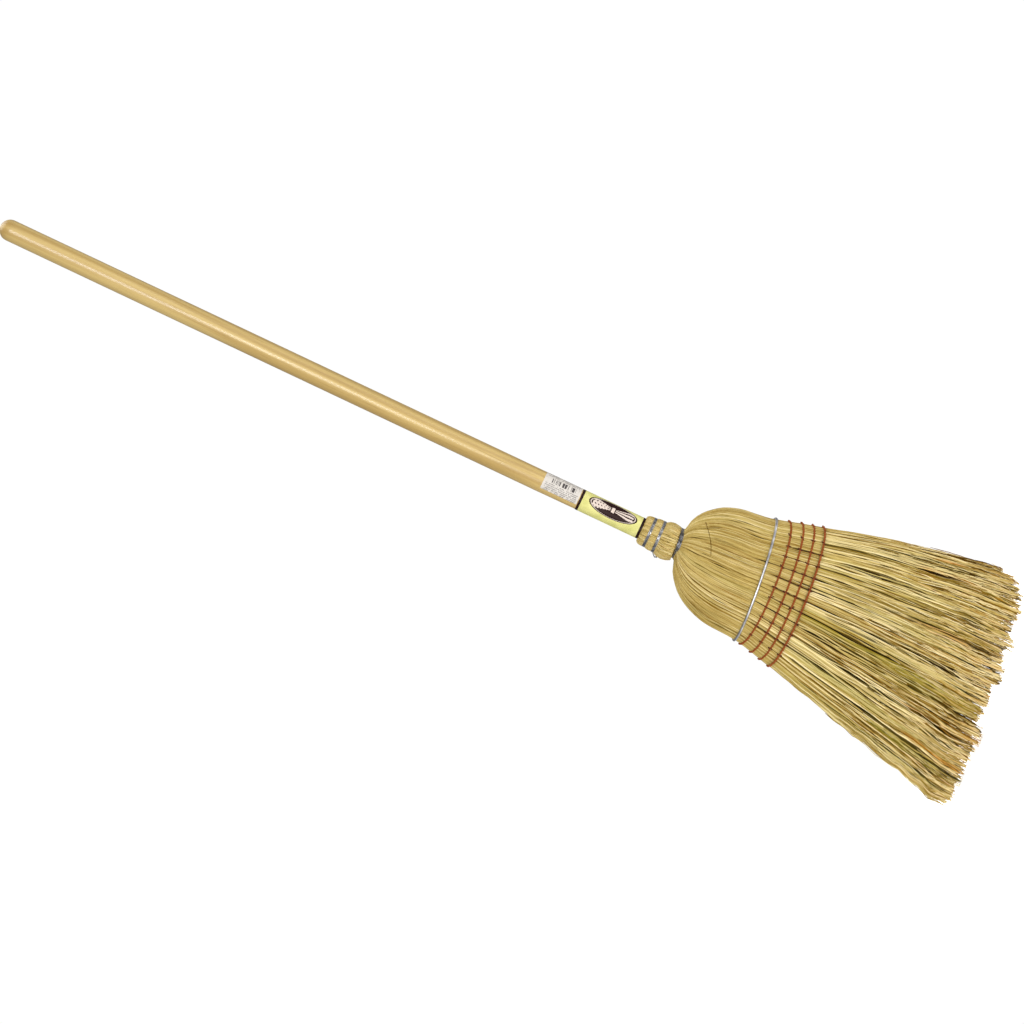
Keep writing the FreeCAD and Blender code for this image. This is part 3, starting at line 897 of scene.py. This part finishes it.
def bandPath(a):
    # round the head in a leaning plane: z = height + rise * x + lean * y, resting on the straw
    x, y = 0.082 * np.cos(a), 0.026 * np.sin(a)
    for _ in range(4):
        z = band["z"] * mm + band["rise"] * x + band["lean"] * y
        centre, wide, deep = headAxes(head["waistZ"] - z + slope * x)
        x = centre + (wide + band["clear"] * mm) * np.cos(a)
        y = (deep + band["clear"] * mm) * np.sin(a)
    return np.stack([x, y, band["z"] * mm + band["rise"] * x + band["lean"] * y], -1)


def makeBand():
    # the loop, and two strands wound half a turn apart along its back
    parts = []
    a = np.linspace(0.5 * np.pi, 2.5 * np.pi, 241)
    loop = bandPath(a)[None]
    points, groups = tubes(loop, np.full(loop.shape[:2], band["radius"] * mm), 12, reference=(0, 0, 1))
    parts.append((points, groups, {}))
    s = np.linspace(0, 1, 60)
    base = bandPath(0.5 * np.pi + np.interp(s, [0, 1], [band["endFrom"], band["endTo"]]))
    for phase in (0.0, np.pi):
        turn = phase + s * 2 * np.pi * band["endTurns"]
        path = base + np.stack([0 * s, 1.1 * mm * np.cos(turn) + 1.6 * mm, 1.5 * mm * np.sin(turn)], -1)
        points, groups = tubes(path[None], np.full((1, 60), band["endRadius"] * mm), 10, reference=(0, 0, 1))
        parts.append((points, groups, {}))
    piece = buildMesh("shoulder_band_wire", *joined(parts))
    finishPiece(piece, "steel_wire", steel, "handle_head", "shoulder_band")


steel = paintSteel("galvanisedWire", srgb(190, 190, 192), srgb(146, 146, 150), 0.24)
neckSteel = paintSteel("tightNeckWire", srgb(188, 188, 190), srgb(112, 112, 116), 0.2)
tackSteel = paintSteel("tackSteel", srgb(110, 108, 106), srgb(60, 58, 58), 0.4)
for node in neckWires:
    makeNeckWire(node)
makeBand()
print("wires made")

# ---- stitches ----
twine = {"radius": 0.92, "tieRadius": 0.72, "ply": 0.66, "pitch": 7.0, "tick": 3.6}


def rowPath(row, a, lift):
    # round the head just outside the straw, pulled in at each tie
    u, v = np.cos(a), np.sin(a)
    drop = head["rowDrops"][row] * mm - rowRise(u)
    middle = 1 - np.abs(((u / head["tieStep"]) % 1.0) - 0.5) * 2
    pull = 0.9 * mm * (1 - middle) ** 3 * (np.abs(u) < 0.95)
    return onHead(u, v, -lift + pull, drop)


def twisted(path, reference):
    # two plies turned round the path, half a turn apart
    step = np.linalg.norm(np.diff(path, axis=0), axis=1)
    length = np.concatenate([[0], np.cumsum(step)])
    along = np.gradient(path, axis=0)
    along /= np.linalg.norm(along, axis=1, keepdims=True)
    side = np.cross(along, reference)
    side /= np.linalg.norm(side, axis=1, keepdims=True)
    out = np.cross(along, side)
    turn = 2 * np.pi * length / (twine["pitch"] * mm)
    shift = twine["ply"] * mm * (np.cos(turn)[:, None] * side + np.sin(turn)[:, None] * out)
    return np.stack([path + shift, path - shift])


def makeRow(row):
    # the wrap once round the head, and a short stitch over it at each tie on both faces
    parts = []
    a = np.linspace(0, 2 * np.pi, 561)
    plies = twisted(rowPath(row, a, 0.7 * mm), (0, 0, 1.0))
    points, groups = tubes(plies, np.full(plies.shape[:2], twine["radius"] * mm), 6, reference=(0, 0, 1))
    parts.append((points, groups, {"tick": np.zeros(len(points))}))
    for u in tieEdges:
        for side in (-1, 1):
            b = np.linspace(-1, 1, 18)
            centre = rowPath(row, side * math.acos(u), 0.7 * mm)
            reach = np.cos(b * np.pi / 2)
            tilt = 0.25 * rng.normal()
            path = centre + np.stack([tilt * b * twine["tick"] * mm, side * (2.0 * reach - 1.3) * mm,
                                      b * (twine["tick"] + 0.3 * rng.normal()) * mm], -1)
            plies = twisted(path, (1.0, 0, 0))
            thick = np.full(plies.shape[:2], twine["tieRadius"] * mm)
            points, groups = tubes(plies, thick, 6, reference=(1, 0, 0))
            parts.append((points, groups, {"tick": np.ones(len(points))}))
    piece = buildMesh(f"stitch_twine_{row + 1}", *joined(parts))
    finishPiece(piece, "twine", waxed, "handle_head", f"stitch_row_{row + 1}")


waxed = paintTwine()
for row in range(4):
    makeRow(row)
print("stitches made")

# ---- the CAD pieces that keep their shape ----
kept = {
    "handle": paintWood(), "wrap_label": paintLabel(), "info_sticker": paintSticker(),
    "inside_corn": paintPacking(), "inner_binding_wire": steel,
    "wire_start_tack": tackSteel, "wire_end_tack": tackSteel,
}
kept["shoulder_corn_left"] = kept["shoulder_corn_right"] = kept["inside_corn"]
for node, material in kept.items():
    mesh = frame["nodes"][node].data
    mesh.materials.clear()
    mesh.materials.append(material)

# ---- floor ----
floorSpec = {"radius": 0.9, "z": -0.0005, "colour": srgb(246, 246, 246), "glow": 0.85}


def makeFloor():
    # a flat disc of one face
    rim = np.linspace(0, 2 * np.pi, 97)[:-1]
    points = np.stack([floorSpec["radius"] * np.cos(rim), floorSpec["radius"] * np.sin(rim),
                       np.full(96, floorSpec["z"])], -1)
    floor = buildMesh("floor", points, [np.arange(96)[None]])
    p = Paint("paleFloor")
    grain = p.noise(p.place, 40.0, 2.0)
    colour = p.mix(grain, floorSpec["colour"], srgb(252, 252, 252))
    material = p.finish(colour, 0.8, Emission_Color=(1, 1, 1, 1), Emission_Strength=floorSpec["glow"])
    floor.data.materials.append(material)


makeFloor()
